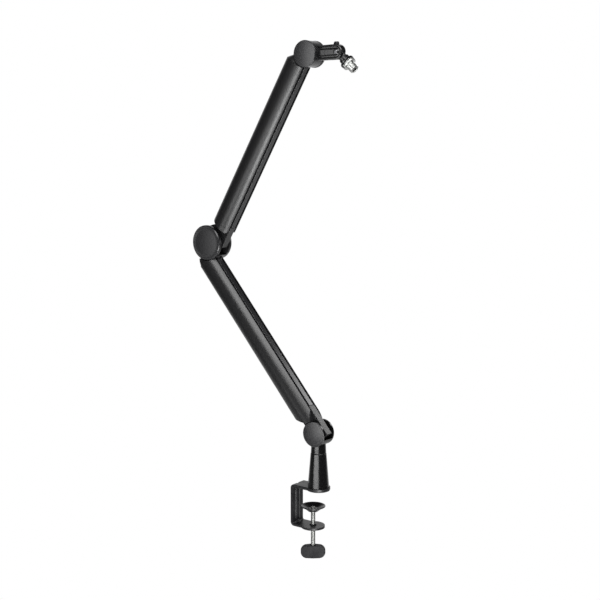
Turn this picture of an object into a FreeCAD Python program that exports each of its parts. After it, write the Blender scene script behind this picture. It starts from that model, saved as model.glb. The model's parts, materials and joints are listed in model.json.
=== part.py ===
import FreeCAD, Part
import os
import re

import Sketcher
from FreeCAD import Placement, Rotation, Vector

# Desk-clamped microphone boom arm: a C-clamp carries a conical post, the post carries a swivelling
# fork, and two tubular arms fold about three round hinge barrels up to a tilting thread stud.
# The origin lies on the swivel axis in the face of the upper jaw that rests on the desk.
# X points over the desk, the arm folds in the XZ plane and Z is up.

doc = FreeCAD.newDocument("microphone_boom_arm")

# Driving dimensions in millimetres and degrees.
SIZES = {
    # Clamp: bent plate, lugs with round ends, screw and paddle knob.
    "jaw_plate": 4.0,
    "jaw_width": 32.0,
    "lug_radius": 21.0,
    "jaw_pad": 1.5,
    "jaw_gap": 67.0,
    "web_back": 49.5,
    "bend_radius": 7.0,
    "bend_inner": 3.0,
    "rib_width": 8.0,
    "rib_height": 1.6,
    "dart_leg": 12.0,
    "screw_offset": 11.5,
    "screw_radius": 4.0,
    "bush_radius": 6.5,
    "bush_flange": 8.5,
    "bush_height": 3.0,
    "cup_radius": 22.0,
    "cup_depth": 9.0,
    "cup_wall": 2.0,
    "cup_seat_radius": 8.0,
    "cup_rim_drop": 31.0,
    "screw_neck": 3.0,
    "rivet_radius": 5.5,
    "rivet_height": 1.6,
    "knob_drop": 104.0,
    "knob_height": 23.5,
    "knob_half_width": 22.0,
    "knob_tip": 7.5,
    "knob_middle": 14.0,
    "knob_round": 10.5,
    "knob_socket": 12.0,
    "knob_turn": 36.5,
    # Post and swivel.
    "post_foot_radius": 19.0,
    "post_top_radius": 14.0,
    "post_floor": 14.0,
    "post_edge": 0.8,
    "bolt_radius": 4.0,
    "bolt_head_radius": 7.5,
    "bolt_head_height": 3.5,
    "bolt_counterbore": 0.3,
    "swivel_washer": 0.8,
    "washer_inset": 0.7,
    "spindle_radius": 8.0,
    "spindle_tail": 6.0,
    "spindle_press": 10.0,
    "spindle_foot": 18.0,
    "collar_radius": 13.6,
    "collar_height": 34.7,
    # Hinge barrels of the base and the head, and the wider one of the elbow.
    "pivot_height": 103.0,
    "barrel_radius": 22.5,
    "barrel_half": 15.0,
    "cap_thickness": 1.6,
    "cap_edge": 0.8,
    "elbow_radius": 32.0,
    "elbow_half": 16.4,
    "elbow_rim": 4.2,
    "elbow_groove": 1.4,
    "groove_depth": 0.9,
    "slot_half": 12.5,
    "elbow_slot_half": 11.4,
    "tongue_half": 7.0,
    "pin_radius": 4.0,
    "friction_radius": 10.0,
    "barrel_gap": 0.5,
    # Arms: tubes with a cable slot, closed by a hollow cover strip.
    "tube_radius": 21.7,
    "tube_wall": 2.5,
    "tube_slot_half": 10.3,
    "plug_length": 18.0,
    "shoulder_length": 26.0,
    "shoulder_land": 0.8,
    "shoulder_round": 2.5,
    "shoulder_drop": 4.6,
    "shoulder_lip": 7.6,
    "shoulder_step": 1.4,
    "neck_rake": 6.0,
    "neck_length": 13.0,
    "neck_nose": 9.0,
    "cover_face": 19.0,
    "cover_half": 5.2,
    "cover_base_half": 11.2,
    "cover_base_face": 15.0,
    "cover_wall": 1.5,
    "cover_end_gap": 0.4,
    "tongue_left": 12.0,
    "tongue_tip": 14.0,
    "tongue_corner": 7.0,
    # Lower arm.
    "lower_angle": 130.4,
    "lower_start": 46.0,
    "lower_setback": 24.0,
    "lower_reach": 400.0,
    "lower_crank": 25.0,
    "lower_back": 28.0,
    "lower_forward": 22.0,
    # Upper arm.
    "upper_angle": 59.7,
    "upper_start": 49.5,
    "upper_setback": 23.2,
    "upper_reach": 397.0,
    "upper_crank": 10.0,
    "upper_foot": 8.0,
    "upper_rake": 10.5,
    "head_crank": 12.85,
    "elbow_open": 50.0,
    "elbow_close": 35.0,
    # Head: mount link, tilting holder, stud and its lock ring.
    "link_length": 57.0,
    "link_rise": 2.0,
    "hub_half": 11.5,
    "hub_step": 0.4,
    "link_radius": 12.5,
    "link_recess": 1.6,
    "link_rim": 3.2,
    "link_bar_half": 3.6,
    "link_fork_depth": 13.0,
    "link_roof": 3.0,
    "fork_half": 3.3,
    "holder_half": 3.0,
    "holder_tilt": 40.5,
    "holder_hub": 9.0,
    "holder_neck_half": 6.5,
    "holder_socket_start": 16.0,
    "holder_socket_radius": 9.0,
    "holder_flange_start": 24.0,
    "holder_flange_radius": 12.5,
    "holder_end": 27.0,
    "tilt_pin_radius": 2.5,
    "tilt_pin_head": 4.0,
    "tilt_pin_head_height": 1.2,
    "lock_shank": 2.0,
    "lock_head": 4.8,
    "lock_head_height": 4.7,
    "lock_top": 3.2,
    "lock_foot_radius": 3.8,
    "lock_setback": 1.6,
    "stud_radius": 7.94,
    "stud_length": 19.0,
    "stud_neck": 7.4,
    "stud_neck_length": 7.0,
    "stud_shank": 4.0,
    "stud_shank_length": 11.0,
    "stud_bore": 4.3,
    "stud_bore_depth": 12.0,
    "stud_edge": 1.0,
    "ring_radius": 11.8,
    "ring_start": 28.5,
    "ring_width": 5.0,
    "ring_edge": 0.6,
    # Clearances: turning fits, pressed fits, loose fits of plates, and room for sweeping pieces.
    "turn_fit": 0.06,
    "press_fit": 0.02,
    "side_fit": 0.05,
    "plug_fit": 0.15,
    "sweep_room": 0.8,
}
sheet = doc.addObject("Spreadsheet::Sheet", "Size")
for row, (alias, amount) in enumerate(SIZES.items(), 1):
    sheet.set("A%d" % row, alias)
    sheet.set("B%d" % row, str(amount))
    sheet.setAlias("B%d" % row, alias)
doc.recompute()

THROUGH = "ThroughAll"
sub_parts = []


def size(alias):
    """Number held by one cell of the sheet."""
    return float(sheet.get(alias))


def formula(text):
    """Expression on the sheet from plain words, such as 'tube_radius - tube_wall'."""
    return re.sub(r"\b(?!cos\b|sin\b)[a-z]\w*", lambda word: "Size." + word.group(0), text)


def new_body(label, frame=Placement()):
    """Empty sub-part, placed by its frame."""
    body = doc.addObject("PartDesign::Body", label)
    body.AllowCompound = True
    body.Placement = frame
    sub_parts.append(body)
    return body


def sketch_on(body, role, level="0"):
    """Sketch on one of the body's own origin planes, raised along the plane's normal."""
    sketch = body.newObject("Sketcher::SketchObject", body.Label + "_sketch")
    plane = next(item for item in body.Origin.OriginFeatures if item.Role == role)
    sketch.AttachmentSupport = [(plane, "")]
    sketch.MapMode = "FlatFace"
    sketch.setExpression("AttachmentOffset.Base.z", formula(level))
    return sketch


def fix(sketch, kind, curve, point, text):
    """Bind one coordinate or radius of a sketch to the sheet."""
    start = float(sketch.evalExpression(formula(text)))
    if kind == "Radius":
        constraint = Sketcher.Constraint(kind, curve, start)
    else:
        constraint = Sketcher.Constraint(kind, curve, point, start)
    index = sketch.addConstraint(constraint)
    sketch.setExpression("Constraints[%d]" % index, formula(text))


def number(sketch, text):
    return float(sketch.evalExpression(formula(text)))


def polygon(sketch, corners):
    """Closed outline whose corners are pairs of formulas."""
    places = [Vector(number(sketch, x), number(sketch, y), 0) for x, y in corners]
    lines = [sketch.addGeometry(Part.LineSegment(place, places[(k + 1) % len(places)]), False)
             for k, place in enumerate(places)]
    for k, line in enumerate(lines):
        following = lines[(k + 1) % len(lines)]
        sketch.addConstraint(Sketcher.Constraint("Coincident", line, 2, following, 1))
    for line, (x, y) in zip(lines, corners):
        fix(sketch, "DistanceX", line, 1, x)
        fix(sketch, "DistanceY", line, 1, y)
    return sketch


def circle(sketch, x, y, radius):
    """Circle whose centre and radius are formulas."""
    middle = Vector(number(sketch, x), number(sketch, y), 0)
    curve = sketch.addGeometry(Part.Circle(middle, Vector(0, 0, 1), number(sketch, radius)), False)
    fix(sketch, "DistanceX", curve, 3, x)
    fix(sketch, "DistanceY", curve, 3, y)
    fix(sketch, "Radius", curve, 0, radius)
    return sketch


def pad(body, sketch, length, sides="Symmetric"):
    feature = body.newObject("PartDesign::Pad", body.Label + "_pad")
    feature.Profile = sketch
    feature.SideType = sides
    feature.setExpression("Length", formula(length))
    return feature


def cut(body, sketch, length=THROUGH, sides="Symmetric", flip=False):
    """Pocket, by default right through the body on both sides of its sketch."""
    doc.recompute()
    before = body.Shape.Volume
    feature = body.newObject("PartDesign::Pocket", body.Label + "_cut")
    feature.Profile = sketch
    feature.SideType = sides
    feature.Reversed = flip
    if length == THROUGH:
        feature.Type = THROUGH
    else:
        feature.setExpression("Length", formula(length))
    doc.recompute()
    if body.Shape.Volume >= before:
        raise RuntimeError("a cut in %s removes nothing" % body.Label)
    return feature


def turn(body, corners, axis, role="XZ_Plane", kind="PartDesign::Revolution"):
    """Solid of revolution about the sketch's own horizontal or vertical axis."""
    sketch = polygon(sketch_on(body, role), corners)
    feature = body.newObject(kind, body.Label + "_turn")
    feature.Profile = sketch
    feature.ReferenceAxis = (sketch, [axis])
    feature.Angle = 360.0
    return feature


def soften(body, radius, wanted):
    """Round every edge of the body that the test picks."""
    doc.recompute()
    base = body.Tip
    names = ["Edge%d" % k for k, edge in enumerate(base.Shape.Edges, 1) if wanted(edge)]
    feature = body.newObject("PartDesign::Fillet", body.Label + "_round")
    feature.Base = (base, names)
    feature.setExpression("Radius", formula(radius))
    return feature


def polar(radius, angle, along="0"):
    """Corner at a distance from the origin under an angle, then moved at a right angle to it."""
    across = "(%s) * cos(%s) + (%s) * sin(%s)" % (radius, angle, along, angle)
    up = "(%s) * sin(%s) - (%s) * cos(%s)" % (radius, angle, along, angle)
    return across, up


def shifted(corner, x, y):
    return "%s + (%s)" % (x, corner[0]), "%s + (%s)" % (y, corner[1])


def round_pin(label, frame, x, z, radius, half_length):
    """Plain pin across the hinge, along Y."""
    body = new_body(label, frame)
    pad(body, circle(sketch_on(body, "XZ_Plane"), x, z, radius), "2 * (%s)" % half_length)
    return body


# Frames: the base and the lower arm turn about the base pivot, the upper arm about the elbow.
# An arm's frame lies on its tube's axis, X along the tube, with the cable slot on its -Z side.
y_axis = Vector(0, 1, 0)
screw_frame = Placement(Vector(-size("screw_offset"), 0, 0), Rotation())
base_frame = Placement(Vector(0, 0, size("pivot_height")), Rotation())
lower_frame = Placement(base_frame.Base, Rotation(y_axis, -size("lower_angle")))
elbow = lower_frame.multVec(Vector(size("lower_reach"), 0, -size("lower_crank")))
upper_turn = Rotation(y_axis, -size("upper_angle"))
upper_frame = Placement(elbow - upper_turn.multVec(Vector(0, 0, size("upper_crank"))), upper_turn)
head = upper_frame.multVec(Vector(size("upper_reach"), 0, -size("head_crank")))
link_frame = Placement(head, Rotation(y_axis, -size("link_rise")))
tilt_pivot = link_frame.multVec(Vector(size("link_length"), 0, 0))
holder_frame = Placement(tilt_pivot, Rotation(y_axis, size("holder_tilt")))
knob_frame = Placement(screw_frame.Base, Rotation(Vector(0, 0, 1), size("knob_turn")))

# Clamp frame: one bent plate with two round-ended lugs, stiffened by a pressed rib along its back
# and a pressed dart in each bend.
plate_top = "jaw_pad + jaw_plate"
lug_bottom = "-jaw_gap - jaw_plate"
web_inner = "jaw_plate - web_back"
clamp = new_body("clamp_frame")
half_jaw = "jaw_width / 2"
web = sketch_on(clamp, "XY_Plane", lug_bottom)
polygon(web, [("-web_back", "-" + half_jaw), (web_inner, "-" + half_jaw), (web_inner, half_jaw),
              ("-web_back", half_jaw)])
pad(clamp, web, "jaw_gap + 2 * jaw_plate + jaw_pad", "One side")
for level, front in (("jaw_pad", "0"), (lug_bottom, "-screw_offset")):
    flat = sketch_on(clamp, "XY_Plane", level)
    polygon(flat, [("-web_back", "-" + half_jaw), (front, "-" + half_jaw), (front, half_jaw),
                   ("-web_back", half_jaw)])
    pad(clamp, flat, "jaw_plate", "One side")
    lug = circle(sketch_on(clamp, "XY_Plane", level), front, "0", "lug_radius")
    pad(clamp, lug, "jaw_plate", "One side")


def bend_at(x):
    """Test for the edges along Y that lie at the given place of the clamp's back."""
    def wanted(edge):
        box = edge.BoundBox
        return box.XLength < 0.01 and box.ZLength < 0.01 and box.YLength > 1 and abs(box.XMin - x) < 0.01
    return wanted


soften(clamp, "bend_radius", bend_at(-size("web_back")))
soften(clamp, "bend_inner", bend_at(size("jaw_plate") - size("web_back")))
rib = sketch_on(clamp, "XY_Plane", "-jaw_gap + dart_leg / 2")
rib_back = web_inner + " - rib_height"
rib_front = web_inner + " + rib_height"
polygon(rib, [(rib_back, "-rib_width / 2"), (rib_front, "-rib_width / 4"), (rib_front, "rib_width / 4"),
              (rib_back, "rib_width / 2")])
pad(clamp, rib, "jaw_gap + jaw_pad - dart_leg", "One side")
for corner_z, leg in (("-jaw_gap", "dart_leg"), ("jaw_pad", "-dart_leg")):
    dart = sketch_on(clamp, "XZ_Plane")
    polygon(dart, [(rib_back, corner_z + " - (" + leg + ") / 8"),
                   (web_inner + " + dart_leg", corner_z + " - (" + leg + ") / 8"),
                   (rib_back, corner_z + " + " + leg)])
    pad(clamp, dart, "rib_width")
for corner_z, leg in ((lug_bottom, "bend_radius"), (plate_top, "-bend_radius")):
    dent = sketch_on(clamp, "XZ_Plane")
    polygon(dent, [("-web_back - 1", corner_z + " - (" + leg + ") / 8"),
                   ("-web_back + bend_radius", corner_z + " - (" + leg + ") / 8"),
                   ("-web_back - 1", corner_z + " + " + leg)])
    cut(clamp, dent, "rib_width * 0.75")
turn(clamp, [("0", "jaw_pad - 1"), ("bolt_head_radius + side_fit", "jaw_pad - 1"),
             ("bolt_head_radius + side_fit", "jaw_pad + bolt_counterbore"),
             ("bolt_radius + side_fit", "jaw_pad + bolt_counterbore + bolt_head_height"),
             ("bolt_radius + side_fit", plate_top + " + 1"), ("0", plate_top + " + 1")],
     "V_Axis", kind="PartDesign::Groove")
bush_hole = sketch_on(clamp, "XY_Plane", "-jaw_gap")
circle(bush_hole, "-screw_offset", "0", "bush_radius + press_fit")
cut(clamp, bush_hole, "jaw_plate + 1", "One side")

# Rubber pad glued under the upper jaw.
pad_part = new_body("jaw_pad")
flat = sketch_on(pad_part, "XY_Plane")
pad_back = web_inner + " + dart_leg"
polygon(flat, [(pad_back, "-" + half_jaw), ("0", "-" + half_jaw), ("0", half_jaw), (pad_back, half_jaw)])
pad(pad_part, flat, "jaw_pad", "One side")
round_end = circle(sketch_on(pad_part, "XY_Plane"), "0", "0", "lug_radius - cap_edge")
pad(pad_part, round_end, "jaw_pad", "One side")

# Threaded bush riveted into the lower lug, and the clamp screw that runs through it.
bush = new_body("clamp_bush", screw_frame)
bush_bore = "screw_radius + turn_fit"
bush_top = "bush_height - jaw_gap"
turn(bush, [(bush_bore, lug_bottom), ("bush_radius", lug_bottom), ("bush_radius", "-jaw_gap"),
            ("bush_flange", "-jaw_gap"), ("bush_flange", bush_top), (bush_bore, bush_top)], "V_Axis")
cup_floor = "-cup_rim_drop - cup_depth"
screw = new_body("clamp_screw", screw_frame)
turn(screw, [("0", "-knob_drop - knob_socket"), ("screw_radius", "-knob_drop - knob_socket"),
             ("screw_radius", cup_floor + " - cup_wall"), ("screw_neck", cup_floor + " - cup_wall"),
             ("screw_neck", cup_floor + " + side_fit"), ("rivet_radius", cup_floor + " + side_fit"),
             ("rivet_radius - cap_edge", cup_floor + " + side_fit + rivet_height"),
             ("0", cup_floor + " + side_fit + rivet_height")], "V_Axis")

# Pressed steel cup that bears on the desk from below and turns freely on the screw's riveted end.
cup = new_body("pressure_cup", screw_frame)
turn(cup, [("screw_neck + turn_fit", cup_floor + " - cup_wall + side_fit"),
           ("cup_seat_radius", cup_floor + " - cup_wall + side_fit"),
           ("cup_radius", "-cup_rim_drop - cup_wall"), ("cup_radius", "-cup_rim_drop"),
           ("cup_radius - cup_wall", "-cup_rim_drop"), ("cup_seat_radius", cup_floor),
           ("screw_neck + turn_fit", cup_floor)], "V_Axis")

# Paddle knob moulded on the lower end of the screw, thickest along its middle.
knob = new_body("clamp_knob", knob_frame)
plan = sketch_on(knob, "XY_Plane", "-knob_drop - knob_height")
polygon(plan, [("-knob_half_width", "-knob_tip / 2"), ("0", "-knob_middle / 2"),
               ("knob_half_width", "-knob_tip / 2"), ("knob_half_width", "knob_tip / 2"),
               ("0", "knob_middle / 2"), ("-knob_half_width", "knob_tip / 2")])
pad(knob, plan, "knob_height", "One side")
reach = size("knob_half_width")
soften(knob, "knob_round",
       lambda edge: abs(abs(edge.CenterOfMass.x) - reach) < 0.01 and edge.BoundBox.YLength > 1)
socket = circle(sketch_on(knob, "XY_Plane", "-knob_drop"), "0", "0", "screw_radius + press_fit")
cut(knob, socket, "knob_socket", "One side")

# Conical post bolted to the upper jaw, bored for the swivel spindle.
post_top = "(pivot_height - collar_height - swivel_washer)"
post = new_body("post")
turn(post, [("bolt_radius + press_fit", plate_top), ("post_foot_radius", plate_top),
            ("post_top_radius", post_top + " - post_edge"), ("post_top_radius - post_edge", post_top),
            ("spindle_radius + turn_fit", post_top), ("spindle_radius + turn_fit", "post_floor"),
            ("bolt_radius + press_fit", "post_floor")], "V_Axis")
bolt = new_body("post_bolt")
turn(bolt, [("0", "jaw_pad + bolt_counterbore"), ("bolt_head_radius", "jaw_pad + bolt_counterbore"),
            ("bolt_radius", "jaw_pad + bolt_counterbore + bolt_head_height"), ("bolt_radius", "post_floor"),
            ("0", "post_floor")], "V_Axis")

# Fork that swivels on the post: a collar below, a slotted barrel above, and its pressed-in spindle.
# The slot's floor stops the arm at its most forward and its most backward lean.
collar_foot = "-collar_height"
lean_forward = "lower_angle - lower_forward"
lean_back = "lower_angle + lower_back"
tongue_clear = "tongue_tip + sweep_room"
left_clear = "tongue_left + sweep_room"
far = "3 * elbow_radius"
fork = new_body("base_yoke", base_frame)
pad(fork, circle(sketch_on(fork, "XZ_Plane"), "0", "0", "barrel_radius"), "2 * barrel_half")
collar = circle(sketch_on(fork, "XY_Plane", collar_foot), "0", "0", "collar_radius")
pad(fork, collar, "collar_height", "One side")
slot = sketch_on(fork, "XZ_Plane")
behind = "-(%s)" % tongue_clear
left = "-(%s)" % left_clear
polygon(slot, [polar(behind, lean_forward, far), polar(behind, lean_forward), polar("0", lean_back, left),
               polar(far, lean_back, left), ("-" + far, far), (far, far)])
cut(fork, slot, "2 * slot_half")
cut(fork, circle(sketch_on(fork, "XZ_Plane"), "0", "0", "tongue_tip + 2 * sweep_room"), "2 * slot_half")
cut(fork, circle(sketch_on(fork, "XZ_Plane"), "0", "0", "pin_radius + press_fit"))
spindle_hole = circle(sketch_on(fork, "XY_Plane", collar_foot), "0", "0", "spindle_tail + press_fit")
cut(fork, spindle_hole, "spindle_press + side_fit", "One side", True)

spindle = new_body("swivel_spindle", base_frame)
spindle_foot = "spindle_foot - pivot_height"
turn(spindle, [("0", spindle_foot), ("spindle_radius", spindle_foot), ("spindle_radius", collar_foot),
               ("spindle_tail", collar_foot), ("spindle_tail", collar_foot + " + spindle_press"),
               ("0", collar_foot + " + spindle_press")], "V_Axis")
washer = new_body("swivel_washer", base_frame)
rim = sketch_on(washer, "XY_Plane", "-collar_height - swivel_washer")
circle(rim, "0", "0", "collar_radius - washer_inset")
circle(rim, "0", "0", "spindle_radius + turn_fit")
pad(washer, rim, "swivel_washer", "One side")


def hinge_hardware(name, frame, radius, half, slot_half, tongue_half, grooved=False):
    """Two cap discs, the pin and the two friction washers of one hinge barrel."""
    for side, word in (("-1", "front"), ("1", "back")):
        cap = new_body("%s_cap_%s" % (name, word), frame)
        inner = "%s * (%s)" % (side, half)
        outer = "%s * (%s + cap_thickness)" % (side, half)
        shoulder = "%s * (%s + cap_thickness - cap_edge)" % (side, half)
        face = [(inner, "0"), (inner, radius), (shoulder, radius), (outer, radius + " - cap_edge")]
        if grooved:
            floor = "%s * (%s + cap_thickness - groove_depth)" % (side, half)
            rim = radius + " - elbow_rim"
            disc = radius + " - elbow_rim - elbow_groove"
            face += [(outer, rim), (floor, rim), (floor, disc), (outer, disc)]
        turn(cap, face + [(outer, "0")], "H_Axis", "YZ_Plane")
    round_pin(name + "_pivot_pin", frame, "0", "0", "pin_radius", half)
    rings = new_body(name + "_friction_washers", frame)
    for level in (tongue_half + " + side_fit", "side_fit - " + slot_half):
        ring = sketch_on(rings, "XZ_Plane", level)
        circle(ring, "0", "0", "friction_radius")
        circle(ring, "0", "0", "pin_radius + turn_fit")
        pad(rings, ring, "%s - %s - 2 * side_fit" % (slot_half, tongue_half), "One side")


hinge_hardware("base", base_frame, "barrel_radius", "barrel_half", "slot_half", "tongue_half")

# Arms. A knuckle closes the lower end of each tube: a plug in the tube, a shoulder outside it that is
# mitred towards the hinge, and a flat tongue that turns in the slot of the hinge barrel below.
tube_inner = "tube_radius - tube_wall"
plug_radius = tube_inner + " - plug_fit"


def shoulder(body, end, way, outside):
    """Plug in a tube's end and the outside of its shoulder, as pairs of distance from the end and radius.

    The tube runs on along +X where way is +1 and stops where way is -1.
    """
    plug = "%s + %s * plug_length" % (end, way)
    beyond = "%s + %s * 2 * plug_length" % (end, way)
    nose = [("%s - %s * (%s)" % (end, way, length), radius) for length, radius in outside]
    turn(body, [(plug, "0"), (plug, plug_radius), (end, plug_radius)] + nose + [(nose[-1][0], "0")], "H_Axis")
    channel_roof = "-cover_base_face + cover_wall + plug_fit"
    relief = sketch_on(body, "XZ_Plane")
    polygon(relief, [(end, "-2 * tube_radius"), (end, channel_roof), (beyond, channel_roof),
                     (beyond, "-2 * tube_radius")])
    cut(body, relief)


def knuckle(label, frame, start, rake, pivot_z, tongue, room=None):
    """Knuckle of an arm: mitred shoulder, cut free of a barrel that it meets, with its tongue and pin bore.

    The rake is how far the mitre runs along the tube from its back to the slot.
    """
    body = new_body(label, frame)
    shoulder(body, start, "1", [("0", "tube_radius"), ("shoulder_length", "tube_radius")])
    bend = start + " - shoulder_land - shoulder_round"
    lip = start + " - shoulder_lip"
    outside = start + " - 4 * tube_radius"
    back = sketch_on(body, "XZ_Plane")
    polygon(back, [(bend + " + 2 * shoulder_round", "tube_radius + shoulder_drop"),
                   (bend, "tube_radius - shoulder_drop"),
                   ("%s - %s" % (bend, rake), "-tube_radius - shoulder_drop"),
                   (outside, "-tube_radius - shoulder_drop"), (outside, "tube_radius + shoulder_drop")])
    cut(body, back)
    front = sketch_on(body, "XZ_Plane")
    flank = "tube_radius / 2 - cover_face"
    polygon(front, [(lip + " + tube_radius", "-2 * tube_radius"),
                    (lip + " + tube_radius", "-tube_radius / 2 - cover_face"),
                    (lip + " - tube_radius", flank), (outside, flank), (outside, "-2 * tube_radius")])
    cut(body, front)
    channel = sketch_on(body, "YZ_Plane")
    polygon(channel, [("-tube_slot_half", "-2 * tube_radius"), ("tube_slot_half", "-2 * tube_radius"),
                      ("tube_slot_half", "-tongue_left"), ("-tube_slot_half", "-tongue_left")])
    cut(body, channel)
    if room:
        cut(body, circle(sketch_on(body, "XZ_Plane"), "0", pivot_z, room))
    pad(body, polygon(sketch_on(body, "XZ_Plane"), tongue), "2 * tongue_half")
    cut(body, circle(sketch_on(body, "XZ_Plane"), "0", pivot_z, "pin_radius + turn_fit"))
    return body


def arm_tube(label, frame, start, end):
    """Tube with a cable slot along its whole length."""
    body = new_body(label, frame)
    ring = sketch_on(body, "YZ_Plane", start)
    circle(ring, "0", "0", "tube_radius")
    circle(ring, "0", "0", tube_inner)
    pad(body, ring, "%s - %s" % (end, start), "One side")
    slot = sketch_on(body, "YZ_Plane")
    polygon(slot, [("-tube_slot_half", "-2 * tube_radius"), ("tube_slot_half", "-2 * tube_radius"),
                   ("tube_slot_half", "0"), ("-tube_slot_half", "0")])
    cut(body, slot)
    return body


def cable_cover(label, frame, start, end):
    """Hollow strip in the tube's slot; its flanges lie inside the tube."""
    body = new_body(label, frame)
    root = "cover_wall - cover_base_face"
    profile = sketch_on(body, "YZ_Plane", start + " + cover_end_gap")
    polygon(profile, [("-cover_base_half", root), ("-cover_base_half", "-cover_base_face"),
                      ("-cover_half", "-cover_base_face"), ("-cover_half", "-cover_face"),
                      ("cover_half", "-cover_face"), ("cover_half", "-cover_base_face"),
                      ("cover_base_half", "-cover_base_face"), ("cover_base_half", root),
                      ("cover_half - cover_wall", root),
                      ("cover_half - cover_wall", "cover_wall - cover_face"),
                      ("cover_wall - cover_half", "cover_wall - cover_face"),
                      ("cover_wall - cover_half", root)])
    pad(body, profile, "%s - %s - 2 * cover_end_gap" % (end, start), "One side")
    return body


def barrel(label, frame, end, outside, x, z, radius, half, mitre=None):
    """Hinge barrel with the shoulder and plug that fix it in a tube's upper end, and its pin bore."""
    body = new_body(label, frame)
    shoulder(body, end, "-1", outside)
    if mitre:
        cut(body, polygon(sketch_on(body, "XZ_Plane"), mitre))
    for level, flip in (("2 * tube_radius", False), ("-2 * tube_radius", True)):
        cap_room = circle(sketch_on(body, "XZ_Plane", level), x, z, radius + " + barrel_gap")
        cut(body, cap_room, "2 * tube_radius - (%s)" % half, "One side", flip)
    pad(body, circle(sketch_on(body, "XZ_Plane"), x, z, radius), "2 * (%s)" % half)
    cut(body, circle(sketch_on(body, "XZ_Plane"), x, z, "pin_radius + press_fit"))
    return body


lower_end = "(lower_reach - lower_setback)"
upper_end = "(upper_reach - upper_setback)"

# Lower arm, with the elbow barrel on its upper end. The elbow slot is bounded by the upper arm's
# tongue at its most open and its most closed position.
knuckle("lower_knuckle", lower_frame, "lower_start", "2 * tube_radius", "0",
        [("lower_start", "tongue_left"), ("tongue_corner - tongue_tip", "tongue_left"),
         ("-tongue_tip", "tongue_left - tongue_corner"), ("-tongue_tip", "-cover_face"),
         ("lower_start", "-cover_face")], "barrel_radius + barrel_gap")
lower_tube = arm_tube("lower_tube", lower_frame, "lower_start", lower_end)
lower_cover = cable_cover("lower_cable_cover", lower_frame, "lower_start", lower_end)
elbow_room = "elbow_radius + barrel_gap"
for body in (lower_tube, lower_cover):
    cut(body, circle(sketch_on(body, "XZ_Plane"), "lower_reach", "-lower_crank", elbow_room))
step_radius = "tube_radius - shoulder_step"
mitre_start = lower_end + " + shoulder_land"
mitre_end = "lower_reach + neck_rake"
mitre_top = step_radius + " - shoulder_drop"
mitre_foot = "shoulder_drop - (%s)" % step_radius
drum = barrel("elbow_yoke", lower_frame, lower_end, [("0", step_radius), ("lower_setback", step_radius)],
              "lower_reach", "-lower_crank", "elbow_radius", "elbow_half",
              [(mitre_start, mitre_top), (mitre_start + " + 2 * neck_rake", mitre_foot), (mitre_end, mitre_foot),
               (mitre_end, "2 * tube_radius"), (mitre_start, "2 * tube_radius")])
folded = "upper_angle - lower_angle"
opened = folded + " + elbow_open"
closed = folded + " - elbow_close"
right_clear = "cover_face + upper_crank + sweep_room"
heel = "tongue_tip - upper_crank / 2"
elbow_slot = [polar("0", opened, left), polar(far, opened, left), (far, "-" + far),
              polar(far, closed, right_clear), polar("upper_foot - sweep_room", closed, right_clear),
              polar(behind, closed, heel + " + sweep_room")]
slot = sketch_on(drum, "XZ_Plane")
polygon(slot, [shifted(corner, "lower_reach", "-lower_crank") for corner in elbow_slot])
cut(drum, slot, "2 * elbow_slot_half")
sweep = circle(sketch_on(drum, "XZ_Plane"), "lower_reach", "-lower_crank", "tongue_tip + 4 * sweep_room")
cut(drum, sweep, "2 * elbow_slot_half")
elbow_frame = Placement(elbow, lower_frame.Rotation)
hinge_hardware("elbow", elbow_frame, "elbow_radius", "elbow_half", "elbow_slot_half", "tongue_half", True)

# Upper arm, with the head barrel on its upper end. The head barrel is open all round between its two
# cheeks, where the round hub of the mount link turns.
knuckle("upper_knuckle", upper_frame, "upper_start", "upper_rake", "upper_crank",
        [("upper_start", "tongue_left"), ("tongue_left", "upper_crank + tongue_left"),
         ("tongue_corner - tongue_tip", "upper_crank + tongue_left"),
         ("-tongue_tip", "upper_crank + tongue_left - tongue_corner"),
         ("-tongue_tip", "upper_crank - (%s)" % heel), ("upper_foot", "-cover_face"),
         ("upper_start", "-cover_face")])
arm_tube("upper_tube", upper_frame, "upper_start", upper_end)
cable_cover("upper_cable_cover", upper_frame, "upper_start", upper_end)
cone = [("0", step_radius), ("shoulder_step", step_radius), ("neck_length", "neck_nose")]
cheeks = barrel("head_yoke", upper_frame, upper_end, cone, "upper_reach", "-head_crank", "barrel_radius",
                "barrel_half")
hub_radius = "(barrel_radius - hub_step)"
hub_room = circle(sketch_on(cheeks, "XZ_Plane"), "upper_reach", "-head_crank", hub_radius + " + sweep_room")
cut(cheeks, hub_room, "2 * slot_half")
head_frame = Placement(head, upper_turn)
hinge_hardware("head", head_frame, "barrel_radius", "barrel_half", "slot_half", "hub_half")

# Mount link: a round hub between the head's cheeks and a bar with recessed sides, round at its front
# end and forked there under a closed roof.
link = new_body("mount_link", link_frame)
pad(link, circle(sketch_on(link, "XZ_Plane"), "0", "0", hub_radius), "2 * hub_half")
pad(link, circle(sketch_on(link, "XZ_Plane"), "link_length", "0", "link_radius"), "2 * tongue_half")
bar = sketch_on(link, "XZ_Plane")
polygon(bar, [("0", "-link_radius"), ("link_length", "-link_radius"), ("link_length", "link_radius"),
              ("0", "link_radius")])
pad(link, bar, "2 * tongue_half")
fork_back = "link_length - link_fork_depth"
recess_back = hub_radius + " + hub_step"
edge = "link_radius - link_rim"
for low, high in (("link_bar_half", edge), ("-(%s)" % edge, "-link_bar_half")):
    for level in ("tongue_half", "-tongue_half"):
        recess = sketch_on(link, "XZ_Plane", level)
        polygon(recess, [(recess_back, low), (fork_back, low), (fork_back, high), (recess_back, high)])
        cut(link, recess, "2 * link_recess")
fork_front = "link_length + 2 * link_radius"
jaw = sketch_on(link, "XZ_Plane")
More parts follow.
